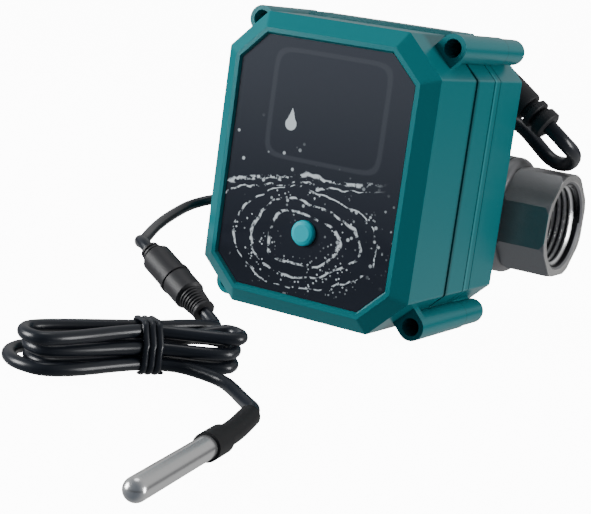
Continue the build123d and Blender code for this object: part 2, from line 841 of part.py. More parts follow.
motor_pinion = block(
    gear_outline(pinion_teeth, motor_place, main_axle, True), inner_front + end_play, motor_pinion_end
)
parts["motor_pinion"] = motor_pinion - cylinder(
    motor_shaft_radius, inner_front + end_play, motor_pinion_end, *motor_place
)


# Valve body: ball chamber with the left port, the stem's neck and the pad for the casing
def barrel(mouth):
    """The eight-sided wrench barrel of one port, its corners turned away at both ends."""
    root = chamber_reach
    half_side = 180 / barrel_sides
    corner = barrel_flats / 2 / cos(radians(half_side))
    sides = RegularPolygon(barrel_flats / 2, barrel_sides, major_radius=False, rotation=half_side)
    solid = along(sides, root, mouth)
    turned = cone(barrel_mouth_radius, corner, root, root + barrel_bevel)
    turned += bar(corner, root + barrel_bevel, mouth - barrel_bevel)
    turned += cone(corner, barrel_mouth_radius, mouth - barrel_bevel, mouth)
    return solid & turned


def port(reach):
    """The threaded bore and flow way that a port takes out, from mouth to seat."""
    way = bar(thread_radius, thread_start, reach) + bar(flow_radius, 0, thread_start)
    return way + cone(thread_radius, thread_radius + mouth_bevel, reach - mouth_bevel, reach)


def mirrored(solid):
    return mirror(solid, about=across(0))


chamber = bar(chamber_radius, -chamber_reach, cap_seam)
chamber = fillet(chamber.edges().filter_by(GeomType.CIRCLE).sort_by(Axis.X)[0], chamber_round)
chamber = chamber + mirrored(barrel(port_reach))
pad_outline = Pos(*output_place) * Rectangle(pad_size, pad_size)
pad = block(fillet(pad_outline.vertices(), pad_corner), case_depth, case_depth + pad_thickness)
neck = cylinder(neck_radius, case_depth, pipe_y, *output_place)
body = chamber + pad + neck
body -= mirrored(port(port_reach))
body -= bar(chamber_bore, -chamber_half, chamber_half - seal_thickness)
body -= bar(spigot_radius, chamber_half - seal_thickness, cap_seam)
body -= bar(seat_radius, -seat_outer, -chamber_half)
stem_bore = stem_radius + running_gap
pocket_start = pipe_y - chamber_bore - stem_flange - washer_thickness
body -= cylinder(stem_pocket_radius, pocket_start, pipe_y - chamber_half, *output_place)
body -= cylinder(stem_bore, case_depth, pocket_start, *output_place)
for x, z in pad_screws:
    body -= cylinder(valve_screw_radius, case_depth, valve_screw_end, x, z)
parts["valve_body"] = body

# End cap with the right port, screwed into the chamber against its seal
flange = bar(chamber_radius, cap_seam, chamber_reach)
flange = fillet(flange.edges().filter_by(GeomType.CIRCLE).sort_by(Axis.X)[-1], chamber_round)
flange = chamfer(flange.edges().filter_by(GeomType.CIRCLE).sort_by(Axis.X)[0], seam_bevel)
end_cap = flange + barrel(port_reach) + bar(spigot_radius, chamber_half, cap_seam)
end_cap -= port(port_reach)
end_cap -= bar(seat_radius, 0, seat_outer)
parts["end_cap"] = end_cap
seal = bar(spigot_radius, chamber_half - seal_thickness, chamber_half)
parts["cap_seal"] = seal - bar(chamber_bore, chamber_half - seal_thickness, chamber_half)

# Ball, with its flow way along the pipe at rest and a slot across its top for the stem
ball_centre = Pos(ball_x, pipe_y, pipe_z)
ball = ball_centre * Sphere(ball_radius)
ball -= bar(flow_radius, -ball_radius, ball_radius)
stem_foot = pocket_start + washer_thickness + stem_flange
slot = Pos(*output_place) * Rectangle(2 * ball_radius, tang_width + 2 * tang_gap)
ball -= block(slot, pipe_y - ball_radius, stem_foot + tang_depth + tang_gap)
parts["ball"] = ball

# Two ring seats hold the ball on its own sphere
seat_sphere = ball_radius + seat_gap
seat_lip = sqrt(seat_sphere**2 - flow_radius**2)
seat_edge = sqrt(seat_sphere**2 - seat_inner**2)
bend = (flow_radius + seat_edge) / 2
seat_section = Polyline(
    (seat_lip, flow_radius), (seat_outer, flow_radius), (seat_outer, seat_radius),
    (seat_inner, seat_radius), (seat_inner, seat_edge),
) + ThreePointArc((seat_inner, seat_edge), (sqrt(seat_sphere**2 - bend**2), bend), (seat_lip, flow_radius))
pipe_section = Plane(origin=(ball_x, pipe_y, pipe_z), x_dir=(1, 0, 0), z_dir=(0, 0, 1))
seat = revolve(pipe_section * make_face(seat_section), Axis((ball_x, pipe_y, pipe_z), (1, 0, 0)))
parts["right_seat"] = seat
parts["left_seat"] = mirrored(seat)

# Stem: square head in the output shaft, flange under a thrust washer, tang in the ball's slot
stem_shoulder = case_depth + pad_thickness / 2
stem_head = Pos(*output_place) * Rectangle(stem_square, stem_square)
stem = block(stem_head, stem_square_start, stem_shoulder)
stem += cylinder(stem_radius, stem_shoulder, stem_foot, *output_place)
stem += cylinder(stem_flange_radius, stem_foot - stem_flange, stem_foot, *output_place)
tang = Pos(*output_place) * Rectangle(tang_length, tang_width)
stem += block(tang, stem_foot, stem_foot + tang_depth)
seal_places = [stem_foot - stem_flange - washer_thickness - seal_step * (step + 1) for step in (0, 1)]
stem_seals = []
for place in seal_places:
    ring = cylinder(stem_radius, place, place + seal_section, *output_place)
    ring -= cylinder(stem_radius - seal_section, place, place + seal_section, *output_place)
    stem -= ring
    stem_seals.append(ring)
parts["stem"] = stem
parts["stem_seals"] = stem_seals
washer = cylinder(stem_flange_radius, pocket_start, pocket_start + washer_thickness, *output_place)
parts["thrust_washer"] = washer - cylinder(
    stem_bore, pocket_start, pocket_start + washer_thickness, *output_place
)

# Power cord outlet: an elbow in the back wall and a ringed sleeve that points down to the side
outlet_centre = Vector(outlet_x, outlet_y, outlet_z)
outlet_way = Vector(cos(radians(outlet_tilt)), 0, -sin(radians(outlet_tilt)))


def sleeve(radius_a, radius_b, start, end):
    """A taper along the sleeve's axis, from the elbow's centre."""
    plane_a = Plane(outlet_centre + outlet_way * start, z_dir=outlet_way)
    plane_b = Plane(outlet_centre + outlet_way * end, z_dir=outlet_way)
    return loft([plane_a * Circle(radius_a), plane_b * Circle(radius_b)], ruled=True)


outlet = cylinder(outlet_radius, shell_inside, outlet_y, outlet_x, outlet_z)
outlet += cylinder(outlet_flange_radius, case_depth, case_depth + outlet_flange, outlet_x, outlet_z)
outlet += Pos(outlet_centre) * Sphere(outlet_radius)
ring_end = outlet_length
for radius in reversed(outlet_ring_radii):
    outlet += sleeve(radius, radius, ring_end - outlet_ring_width, ring_end)
    ring_end -= outlet_ring_width + outlet_ring_gap
outlet += sleeve(outlet_radius, outlet_radius, 0, ring_end)
outlet += sleeve(outlet_neck_radius, outlet_neck_radius, 0, outlet_length)
parts["power_outlet"] = outlet
cord_start = outlet_centre + outlet_way * outlet_length

# Sensor lead gland: a flanged rubber plug in the left wall
gland = sideways(gland_radius, gland_flange) + sideways(gland_tip_radius, gland_reach)
parts["sensor_gland"] = gland + sideways(gland_tip_radius, -case_wall)

def route(points):
    """A cord's line: straight runs joined by tangent arcs, each radius printed."""
    points = [Vector(point) for point in points]
    radii = []
    for before, corner, after in zip(points, points[1:], points[2:]):
        half_turn = radians((corner - before).get_angle(after - corner) / 2)
        shorter = min((corner - before).length, (after - corner).length)
        radii.append(arc_share * shorter / tan(half_turn))
    print("  radii", *(round(radius, 1) for radius in radii))
    return FilletPolyline(*points, radius=radii)


def led(start, way_in, points, end, way_out, run):
    """A route's points, with one more at each end, straight out of what it leaves and meets."""
    start, end = Vector(start), Vector(end)
    return [start, start + way_in * run, *points, end - way_out * run, end]


def biarc(start, way_in, end, way_out):
    """Two tangent arcs from one place and direction to another."""
    chord = end - start
    along_ways = chord.dot(way_in + way_out)
    spread = 2 * (1 - way_in.dot(way_out))
    if spread:
        reach = (sqrt(along_ways**2 + spread * chord.dot(chord)) - along_ways) / spread
    else:
        reach = chord.dot(chord) / (2 * along_ways)
    joint = (start + end + (way_in - way_out) * reach) / 2
    first = TangentArc(start, joint, tangent=way_in)
    return [first, TangentArc(joint, end, tangent=first % 1)]


def wound(stations, lead_in):
    """A wound cord's line through its places and directions, with a straight run at each end."""
    first_place, first_way = stations[0]
    last_place, last_way = stations[-1]
    edges = [Line(first_place - first_way * lead_in, first_place)]
    for (place_a, way_a), (place_b, way_b) in zip(stations, stations[1:]):
        edges += biarc(place_a, way_a, place_b, way_b)
    edges.append(Line(last_place, last_place + last_way * lead_in))
    return Wire([edge.edge() for edge in edges])


def tube(name, path, diameter):
    """A round cord along a line, its volume compared with its section times its length."""
    solid = sweep(Plane(path @ 0, z_dir=path % 0) * Circle(diameter / 2), path=path)
    share = solid.volume / (pi * diameter**2 / 4 * path.length)
    print(name, "length", round(path.length, 1), "volume share", round(share, 4))
    return solid


def least_gap(path, diameter):
    """The least gap of a wound cord to itself, on points a third of a diameter apart."""
    count = int(3 * path.length / diameter)
    points = [path @ (step / count) for step in range(count + 1)]
    apart = int(3 * pi)
    gaps = [
        (points[one] - points[two]).length
        for one in range(count + 1)
        for two in range(one + apart, count + 1)
    ]
    return min(gaps) - diameter


def turned(place, way, outline):
    """A round piece on an axis, from the distances and radii of its outline."""
    origin = Vector(place)
    plane = Plane(origin, x_dir=way, z_dir=way.cross(Vector(0, 0, 1)))
    section = make_face(Polyline((outline[0][0], 0), *outline, (outline[-1][0], 0), close=True))
    return revolve(plane * section, Axis(origin, way))


# Power cord: out of its sleeve, over the barrel, down behind the casing and into the coil
floor_z = -boss_span_z / 2 - boss_radius
coil_low = floor_z + floor_gap + cord_diameter / 2
coil_step = cord_diameter + turn_gap
coil_y = pipe_y + coil_stand
coil_places = []
for half_turn in range(4 * coil_turns + 2):
    inward = min(half_turn, 4 * coil_turns + 1 - half_turn)
    radius = coil_radius - inward * coil_step / 2
    if inward == 2 * coil_turns:
        radius -= coil_climb_inset
    side = 1 if half_turn % 2 else -1
    place_y = coil_y + side * radius
    level = coil_low + (coil_step if half_turn > 2 * coil_turns else 0)
    coil_places.append((Vector(coil_x, place_y, level), Vector(side, 0, 0)))
coil_path = wound(coil_places, cord_diameter)
parts["power_coil"] = tube("power_coil", coil_path, cord_diameter)
print("  least gap", round(least_gap(coil_path, cord_diameter), 2))
power_points = [Vector(x, pipe_y + back, z) for x, back, z in power_route]
power_path = route(led(cord_start, outlet_way, power_points, coil_path @ 0, coil_path % 0, cord_run))
parts["power_cord"] = tube("power_cord", power_path, cord_diameter)
coil_out = coil_path @ 1
plug_way = Vector(1, 0, 0)
*plug_points, plug_start = [coil_out + Vector(*step) for step in plug_route]
plug_path = route(led(coil_out, plug_way, plug_points, plug_start, plug_way, cord_run))
parts["power_cord_end"] = tube("power_cord_end", plug_path, cord_diameter)

# Power plug: a moulded body with a tapered relief, and a hollow contact barrel
plug = turned(plug_start, plug_way, [
    (0, plug_relief_radius), (plug_relief, plug_radius - plug_round), (plug_relief + plug_round, plug_radius),
    (plug_length - plug_round, plug_radius), (plug_length, plug_radius - plug_round),
])
parts["power_plug"] = plug
barrel_end = plug_length + plug_barrel
parts["power_plug_barrel"] = turned(plug_start, plug_way, [
    (plug_length, plug_barrel_radius), (barrel_end, plug_barrel_radius),
]) - turned(plug_start, plug_way, [
    (barrel_end - plug_bore_depth, plug_barrel_bore), (barrel_end, plug_barrel_bore),
])

# Sensor lead connector: boot and plug half, coupling ring, socket half with a ribbed neck
connector_span = Vector(connector_end) - Vector(connector_start)
connector_way = connector_span.normalized()
connector_length = connector_span.length
ring_start = boot_length + connector_half
parts["lead_plug"] = turned(connector_start, connector_way, [
    (0, boot_radius), (boot_length, boot_radius),
    (boot_length, connector_radius), (ring_start, connector_radius),
])
socket_start = ring_start + coupling_width
parts["coupling_ring"] = turned(connector_start, connector_way, [
    (ring_start, coupling_radius), (socket_start, coupling_radius),
])
neck_start = socket_start + socket_half
neck_end = connector_length - connector_cap
socket_outline = [
    (socket_start, connector_radius), (neck_start, connector_radius), (neck_start, neck_radius_small),
]
rib_place = neck_start + neck_rib_gap
while rib_place + neck_rib_width + neck_rib_gap < neck_end:
    rib_end = rib_place + neck_rib_width
    socket_outline += [
        (rib_place, neck_radius_small), (rib_place, neck_rib_radius),
        (rib_end, neck_rib_radius), (rib_end, neck_radius_small),
    ]
    rib_place = rib_end + neck_rib_gap
socket_outline += [
    (neck_end, neck_radius_small), (neck_end, connector_cap_radius), (connector_length, connector_cap_radius),
]
parts["lead_socket"] = turned(connector_start, connector_way, socket_outline)
gland_end = Vector(-case_width / 2 - gland_reach, gland_y, gland_z)
gland_way = Vector(-1, 0, 0)
casing_path = route(led(gland_end, gland_way, casing_route, connector_start, connector_way, lead_run))
parts["sensor_lead_casing"] = tube("sensor_lead_casing", casing_path, lead_diameter)

# Sensor lead hank: seen from above, u runs along its loops and v towards the viewer
hank_u = Vector(cos(radians(hank_angle)), sin(radians(hank_angle)), 0)
hank_v = Vector(sin(radians(hank_angle)), -cos(radians(hank_angle)), 0)
layer_step = lead_diameter + turn_gap
hank_low = floor_z + floor_gap + tie_thickness + tie_slack + lead_diameter / 2
waist = Vector(waist_x, waist_y, hank_low)


def hank_place(along_u, along_v, layer):
    return waist + hank_u * along_u + hank_v * along_v + Vector(0, 0, layer * layer_step)


hank_stations = []
for number, (along_waist, across_waist, layer) in enumerate(waist_places):
    out = -1 if number % 2 == 0 else 1
    hank_stations.append((hank_place(along_waist, across_waist, layer), hank_u * out))
    if number < len(hank_ends):
        reach, middle, radius, end_layer = hank_ends[number]
        start_u = reach - out * radius
        hank_stations.append((hank_place(start_u, middle + out * radius, end_layer), hank_u * out))
        hank_stations.append((hank_place(start_u, middle - out * radius, end_layer), hank_u * -out))
hank_path = wound(hank_stations, lead_diameter)
parts["sensor_hank"] = tube("sensor_hank", hank_path, lead_diameter)
print("  least gap", round(least_gap(hank_path, lead_diameter), 2))
middle_path = route(led(connector_end, connector_way, middle_route, hank_path @ 0, hank_path % 0, lead_run))
parts["sensor_lead_middle"] = tube("sensor_lead_middle", middle_path, lead_diameter)

# Hank tie: a band round the waist
tie_sides = [across_waist for _, across_waist, _ in waist_places]
top_layer = max(layer for *_, layer in waist_places)
tie_inner_width = max(tie_sides) - min(tie_sides) + lead_diameter + 2 * tie_slack
tie_inner_height = top_layer * layer_step + lead_diameter + 2 * tie_slack
tie_centre = hank_place(-tie_width / 2, (max(tie_sides) + min(tie_sides)) / 2, top_layer / 2)
tie_plane = Plane(tie_centre, x_dir=hank_v, z_dir=hank_u)
tie_round = lead_diameter / 2 + tie_slack
tie_outline = RectangleRounded(
    tie_inner_width + 2 * tie_thickness, tie_inner_height + 2 * tie_thickness, tie_round + tie_thickness
) - RectangleRounded(tie_inner_width, tie_inner_height, tie_round)
parts["hank_tie"] = extrude(tie_plane * tie_outline, amount=tie_width, dir=hank_u)

# Probe: lead, shrunk sleeve and steel tube
sleeve_path = route(sleeve_points)
probe_path = route(led(hank_path @ 1, hank_path % 1, probe_route, sleeve_path @ 0, sleeve_path % 0, lead_run))
parts["sensor_lead_probe"] = tube("sensor_lead_probe", probe_path, lead_diameter)
probe_way = sleeve_path % 1
probe_place = sleeve_path @ 1
wide_length = (Vector(sleeve_points[2]) - Vector(sleeve_points[1])).length / 2
probe_sleeve = tube("probe_sleeve", sleeve_path, 2 * sleeve_radius)
probe_sleeve += turned(probe_place, probe_way, [(-wide_length, sleeve_wide_radius), (0, sleeve_wide_radius)])
dome_place = probe_length - probe_radius
probe = turned(probe_place, probe_way, [(-sleeve_overlap, probe_radius), (dome_place, probe_radius)])
probe += Pos(probe_place + probe_way * dome_place) * Sphere(probe_radius)
parts["probe_sleeve"] = probe_sleeve - probe
parts["probe_tube"] = probe

# Everything goes to the shared frame: origin on the floor, under the middle of the rigid object
middle_x = (ball_x + port_reach - boss_span_x / 2 - boss_radius) / 2
middle_y = (pipe_y + chamber_radius + button_face) / 2
to_frame = Pos(-middle_x, -middle_y, -floor_z)
os.makedirs("parts", exist_ok=True)
for name, piece in parts.items():
    solids = list(piece) if isinstance(piece, list) else [piece]
    moved = Compound(label=name, children=[to_frame * solid for solid in solids])
    export_step(moved, f"parts/{name}.step")
print(len(parts), "nodes; frame shift", -middle_x, -middle_y, -floor_z)
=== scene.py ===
from math import atan2, cos, pi, radians, sin

import bmesh
import bpy
from mathutils import Matrix, Vector


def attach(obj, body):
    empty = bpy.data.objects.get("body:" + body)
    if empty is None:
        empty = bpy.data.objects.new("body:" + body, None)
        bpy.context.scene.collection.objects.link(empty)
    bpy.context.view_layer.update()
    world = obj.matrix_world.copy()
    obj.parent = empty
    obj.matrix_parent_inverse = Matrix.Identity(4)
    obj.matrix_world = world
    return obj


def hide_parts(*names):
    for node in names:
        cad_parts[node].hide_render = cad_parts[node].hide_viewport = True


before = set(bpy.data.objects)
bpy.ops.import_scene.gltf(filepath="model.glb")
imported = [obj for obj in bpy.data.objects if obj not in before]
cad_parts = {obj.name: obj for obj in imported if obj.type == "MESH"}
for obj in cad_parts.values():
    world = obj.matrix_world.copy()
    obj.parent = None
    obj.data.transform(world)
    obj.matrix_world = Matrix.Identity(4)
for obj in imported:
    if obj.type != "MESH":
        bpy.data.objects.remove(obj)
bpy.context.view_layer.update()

# Camera: the photograph's standpoint, a little above the casing and to its right.
# Its place and its axes come from the casing's corners in the photograph.
camera_place = Vector((0.20695, -0.42905, 0.0965))
camera_right = Vector((0.8507, 0.5082, 0.1345))
camera_up = Vector((-0.2052, 0.0854, 0.975))
camera_back = camera_right.cross(camera_up)
focal_length = 95.46
sensor_width = 36.0
lens = bpy.data.cameras.new("camera")
lens.lens = focal_length
lens.sensor_width = sensor_width
lens.sensor_fit = "HORIZONTAL"
camera = bpy.data.objects.new("camera", lens)
camera_turn = Matrix((camera_right, camera_up, camera_back)).transposed()
camera.matrix_world = Matrix.Translation(camera_place) @ camera_turn.to_4x4()
bpy.context.collection.objects.link(camera)
bpy.context.scene.camera = camera

# Studio: a pale floor that runs out of sight and rises at its far edge, and three soft panels.
# The photograph was lit from the front left and from above, against plain white.
# The surround is darker in front than behind, with a dark line at its horizon, as metal shows it.
sharp_angle = radians(40)


def new_object(name, data):
    """An object for a mesh or curve, linked to the scene."""
    piece = bpy.data.objects.new(name, data)
    bpy.context.collection.objects.link(piece)
    return piece


def mesh_piece(name, shape, smooth=True):
    """A piece from a bmesh, with soft shading or flat."""
    data = bpy.data.meshes.new(name)
    shape.to_mesh(data)
    shape.free()
    for face in data.polygons:
        face.use_smooth = smooth
    if smooth:
        data.set_sharp_from_angle(angle=sharp_angle)
    return new_object(name, data)


def soft_panel(name, place, target, width, height, power):
    """A large rectangular studio light that faces a point."""
    data = bpy.data.lights.new(name, "AREA")
    data.shape = "RECTANGLE"
    data.size = width
    data.size_y = height
    data.energy = power
    panel = new_object(name, data)
    panel.location = place
    panel.rotation_euler = (Vector(target) - Vector(place)).to_track_quat("-Z", "Y").to_euler()


class Socket:
    """A socket in a material's node tree; sums and products of sockets add Math nodes."""

    def __init__(self, tree, socket):
        self.tree = tree
        self.socket = socket

    def node(self, kind, settings=None, inputs=None, output=0):
        """Any other node: its settings are set first, then the values or links of its sockets."""
        new = self.tree.nodes.new(kind)
        for key, value in (settings or {}).items():
            setattr(new, key, value)
        for key, value in (inputs or {}).items():
            if isinstance(value, Socket):
                self.tree.links.new(value.socket, new.inputs[key])
            else:
                new.inputs[key].default_value = value
        return Socket(self.tree, new.outputs[output])

    def maths(self, operation, *values):
        """A Math node on this socket and, after it, any other values."""
        return self.node("ShaderNodeMath", {"operation": operation}, dict(enumerate((self, *values))))

    def __add__(self, other):
        return self.maths("ADD", other)

    def __sub__(self, other):
        return self.maths("SUBTRACT", other)

    def __rsub__(self, other):
        return self.node("ShaderNodeMath", {"operation": "SUBTRACT"}, {0: other, 1: self})

    def __mul__(self, other):
        return self.maths("MULTIPLY", other)

    def __truediv__(self, other):
        return self.maths("DIVIDE", other)

    def __gt__(self, other):
        return self.maths("GREATER_THAN", other)

    def __lt__(self, other):
        return self.maths("LESS_THAN", other)

    __radd__ = __add__
    __rmul__ = __mul__

    def between(self, low, high):
        """Runs smoothly from 0 to 1 between two values."""
        settings = {"interpolation_type": "SMOOTHSTEP"}
        return self.node("ShaderNodeMapRange", settings, {"Value": self, "From Min": low, "From Max": high})

    def mixed(self, colour_a, colour_b):
        """Colour a where this mask is 0, colour b where it is 1."""
        inputs = {0: self}
        for number, colour in ((6, colour_a), (7, colour_b)):
            inputs[number] = colour if isinstance(colour, Socket) else (*colour, 1)
        return self.node("ShaderNodeMix", {"data_type": "RGBA"}, inputs, 2)


class Finish:
    """A material: one Principled shader whose sockets take values or Socket links."""

    def __init__(self, name, colour, roughness, metallic=0.0, **more):
        self.material = bpy.data.materials.new(name)
        self.material.use_nodes = True
        self.tree = self.material.node_tree
        self.shader = self.tree.nodes["Principled BSDF"]
        self.material.diffuse_color = (*colour, 1)
        self.set("Base Color", (*colour, 1))
        self.set("Roughness", roughness)
        self.set("Metallic", metallic)
        for key, value in more.items():
            self.set(key.replace("_", " ").title().replace("Ior", "IOR"), value)

    def set(self, key, value):
        """Gives the shader's socket a value, or links it."""
        if isinstance(value, Socket):
            self.tree.links.new(value.socket, self.shader.inputs[key])
        else:
            self.shader.inputs[key].default_value = value

    def place(self):
        """The point's place in the piece's own frame, in metres."""
        return Socket(self.tree, None).node("ShaderNodeTexCoord", output="Object")

    def axes(self):
        """The point's x, y and z as three values."""
        place = self.place()
        return [place.node("ShaderNodeSeparateXYZ", None, {0: place}, axis) for axis in "XYZ"]

    def noise(self, scale, detail):
        """An even noise about one half, with this many cells to the metre."""
        place = self.place()
        return place.node("ShaderNodeTexNoise", None, {"Vector": place, "Scale": scale, "Detail": detail})

    def bump(self, height, strength, distance):
        """Lets a height pattern disturb the surface by a real distance."""
        inputs = {"Height": height, "Strength": strength, "Distance": distance}
        self.set("Normal", height.node("ShaderNodeBump", None, inputs))

    def cover(self, *pieces):
        """Puts the finish on every face of each piece, a node's name or an object."""
        for piece in pieces:
            target = bpy.data.objects[piece] if isinstance(piece, str) else piece
            slots = target.data.materials
            if not slots:
                slots.append(self.material)
            for slot in target.material_slots:
                slot.material = self.material


floor_reach = 8.0
floor_flat = 4.0
floor_rise = 0.085
floor_squares = 8
floor_glow = 12.0
shape = bmesh.new()
bmesh.ops.create_grid(shape, x_segments=floor_squares, y_segments=floor_squares, size=floor_reach)
for vertex in shape.verts:
    edge = max(abs(vertex.co.x), abs(vertex.co.y)) - floor_flat
    vertex.co.z = floor_rise * max(edge, 0) ** 2
floor = mesh_piece("floor", shape, smooth=False)
paper = Finish("floor paper", (0.9, 0.9, 0.9), roughness=0.8, specular_ior_level=0.1)
paper.set("Emission Color", (1, 1, 1, 1))
paper.set("Emission Strength", floor_glow)
paper.cover(floor)
floor.visible_glossy = False
floor.visible_diffuse = False
world = bpy.data.worlds.new("surround")
bpy.context.scene.world = world
world.use_nodes = True
sky = world.node_tree.nodes["Background"]
heading = Socket(world.node_tree, None).node("ShaderNodeTexCoord", output="Generated")
behind = heading.node("ShaderNodeSeparateXYZ", None, {0: heading}, "Y")
above = heading.node("ShaderNodeSeparateXYZ", None, {0: heading}, "Z")
front_shade = (0.17, 0.19, 0.22)
back_shade = (0.62, 0.62, 0.62)
horizon_shade = (0.03, 0.03, 0.035)
front_to_back = (-0.6, 0.8)
horizon_drop = 0.03
horizon_fade = (0.02, 0.2)
sky_strength = 0.8
shade = behind.between(*front_to_back).mixed(front_shade, back_shade)
off_horizon = (above + horizon_drop).maths("ABSOLUTE")
shade = off_horizon.between(*horizon_fade).mixed(horizon_shade, shade)
world.node_tree.links.new(shade.socket, sky.inputs["Color"])
sky.inputs["Strength"].default_value = sky_strength
soft_panel("key panel", (-0.82, -0.74, 0.3), (0, 0, 0.04), width=0.45, height=0.5, power=14)
soft_panel("side panel", (0.95, 0.2, 0.05), (0, 0, 0.03), width=0.3, height=0.5, power=8)
soft_panel("top panel", (-0.1, 0.0, 0.9), (0, 0, 0), width=0.4, height=0.4, power=1.2)

# Power cord: a round black jacket, moulded into the outlet sleeve at the back of the casing.
# It loops over the valve's barrel, drops behind the casing, and its spare length lies there in a coil.
casing_centre = Vector((-4.85, -51.85, 43.1))


def from_casing(*place):
    """A place given in millimetres from the casing's front centre, in the shared frame."""
    return (Vector(place) + casing_centre) / 1000


def lay_cord(name, points, diameter):
    """A cord on one smooth line with these control points, in millimetres from the casing."""
    data = bpy.data.curves.new(name, "CURVE")
    data.dimensions = "3D"
    data.bevel_depth = diameter / 2000
    data.bevel_resolution = 5
    data.resolution_u = 6
    data.use_fill_caps = True
    spline = data.splines.new("NURBS")
    spline.points.add(len(points) - 1)
    for point, place in zip(spline.points, points):
        point.co = (*from_casing(*place), 1)
    spline.order_u = 3
    spline.use_endpoint_u = True
    return new_object(name, data)


def join_rings(shape, rings, closed=True):
    """Faces between rings of vertices; closed rings also get end caps."""
    count = len(rings[0])
    for ring, following in zip(rings, rings[1:]):
        for side in range(count if closed else count - 1):
            corner = (side + 1) % count
            shape.faces.new((ring[side], ring[corner], following[corner], following[side]))
    if closed:
        shape.faces.new(rings[0])
        shape.faces.new(rings[-1])
    bmesh.ops.recalc_face_normals(shape, faces=shape.faces)


def lathe(shape, start, way, outline, sides=48):
    """Turns an outline of distances and radii about an axis, in millimetres from the casing."""
    across = way.orthogonal().normalized()
    up = way.cross(across)
    rings = []
    for distance, radius in outline:
        ring = []
        for side in range(sides):
            turn = 2 * pi * side / sides
            place = start + way * distance + (across * cos(turn) + up * sin(turn)) * radius
            ring.append(shape.verts.new(from_casing(*place)))
        rings.append(ring)
    join_rings(shape, rings)


cord_diameter = 4.6
cord_run = 7.0
cord_first_run = 2.5
outlet_fall = radians(32.4)
outlet_way = Vector((cos(outlet_fall), 0, -sin(outlet_fall)))
outlet_elbow = Vector((16.2, 71.0, 33.2))
outlet_length = 28.0
cord_start = outlet_elbow + outlet_way * outlet_length
power_route = [
    (44.9, 73.0, 13.9), (46.2, 78.5, 11.1), (44.2, 84.5, 8.2), (40.2, 89.4, 5.9), (34.4, 91.4, 6.2),
    (28.4, 92.0, 10.8), (21.5, 93.6, 15.6), (10.0, 96.0, 18.4), (-2.0, 98.0, 17.4), (-13.0, 101.0, 11.0),
    (-20.0, 104.0, 1.0), (-23.5, 106.0, -10.0), (-26.0, 107.0, -21.0), (-30.0, 107.2, -30.5),
    (-37.0, 106.4, -37.4), (-47.0, 105.4, -40.6),
]
floor_level = -casing_centre.z
floor_gap = 0.1
turn_gap = 0.5
coil_centre = Vector((-74.0, 138.0, 0))
coil_radius = 33.0
coil_turns = 3
coil_points_per_turn = 16
coil_climb_inset = 1.2
coil_low = floor_level + floor_gap + cord_diameter / 2
coil_step = cord_diameter + turn_gap
plug_way = Vector((1, 0, 0))
points = [cord_start, cord_start + outlet_way * cord_first_run, *(Vector(place) for place in power_route)]
points.append(coil_centre + Vector((cord_diameter + cord_run, -coil_radius, coil_low)))
corner_spread = 1 / cos(pi / coil_points_per_turn)
half_turns = 4 * coil_turns + 1
steps = coil_points_per_turn * half_turns // 2
for step in range(steps + 1):
    along = (step + 0.5) / (steps + 1) * half_turns
    inward = min(along, half_turns - along)
    climb = min(max(along - 2 * coil_turns, 0), 1)
    inset = coil_climb_inset * max(0, min(1, inward - 2 * coil_turns + 1))
    if inward > 2 * coil_turns:
        inset -= coil_step / 4
    radius = (coil_radius - inward * coil_step / 2 - inset) * corner_spread
    angle = -pi / 2 - pi * along
    height = coil_low + coil_step * (3 * climb**2 - 2 * climb**3)
    points.append(coil_centre + Vector((radius * cos(angle), radius * sin(angle), height)))
coil_out = coil_centre + Vector((cord_diameter, coil_radius, coil_low + coil_step))
cord_sag = coil_out + Vector((17.0, 0.0, -0.3))
plug_start = coil_out + Vector((34.0, 0.0, -2.4))
points += [coil_out, coil_out + plug_way * cord_run, cord_sag]
points += [plug_start - plug_way * cord_run, plug_start]
power_cord = lay_cord("power_cord_jacket", points, cord_diameter)
cable = Finish("cable jacket", (0.014, 0.018, 0.026), roughness=0.32)
cable.bump(cable.noise(scale=2200, detail=2), strength=0.15, distance=0.00004)
cable.cover(power_cord)
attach(power_cord, "valve")
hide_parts("power_cord", "power_coil", "power_cord_end")

# Sensor lead, first length: a thinner black cord from the gland in the casing's left wall.
# It swings round the casing's side to the plug half of the in-line connector.
lead_diameter = 3.2
lead_run = 5.0
gland_end = Vector((-37.35, 34.0, -17.0))
connector_start = Vector((-17.9, -47.2, -22.0))
connector_end = Vector((6.6, -55.6, -32.0))
connector_way = (connector_end - connector_start).normalized()
plug_outline = [
    (0, 1.7), (0.2, 2.6), (0.9, 2.6), (1.1, 2.1), (1.5, 2.1), (1.7, 2.9), (2.3, 2.9), (2.5, 2.4), (2.9, 2.4),
    (3.1, 3.4), (3.8, 4.0), (12.2, 4.0), (12.5, 3.7),
]
socket_outline = [(13.9, 3.7), (14.2, 4.05), (20.4, 4.05), (20.9, 3.5), (21.1, 3.0)]
neck_ribs = 6
neck_start = 21.2
neck_radius = 3.45
neck_taper = 0.11
rib_pitch = 0.92
rib_width = 0.65
rib_edge = 0.15
rib_height = 0.4
for rib in range(neck_ribs):
    rib_start = neck_start + rib * rib_pitch
    rib_end = rib_start + rib_width
    rib_radius = neck_radius - neck_taper * rib
    socket_outline += [
        (rib_start, rib_radius - rib_height), (rib_start + rib_edge, rib_radius),
        (rib_end - rib_edge, rib_radius), (rib_end, rib_radius - rib_height),
    ]
socket_outline += [(26.7, 2.5), (26.8, 3.0), (27.5, 3.0), (27.7, 1.7)]
shape = bmesh.new()
lathe(shape, connector_start, connector_way, plug_outline)
plug_half = mesh_piece("plug_half", shape)
shape = bmesh.new()
lathe(shape, connector_start, connector_way, socket_outline)
socket_half = mesh_piece("socket_half", shape)
for half, node in ((plug_half, "lead_plug"), (socket_half, "lead_socket")):
    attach(half, "valve")
    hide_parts(node)
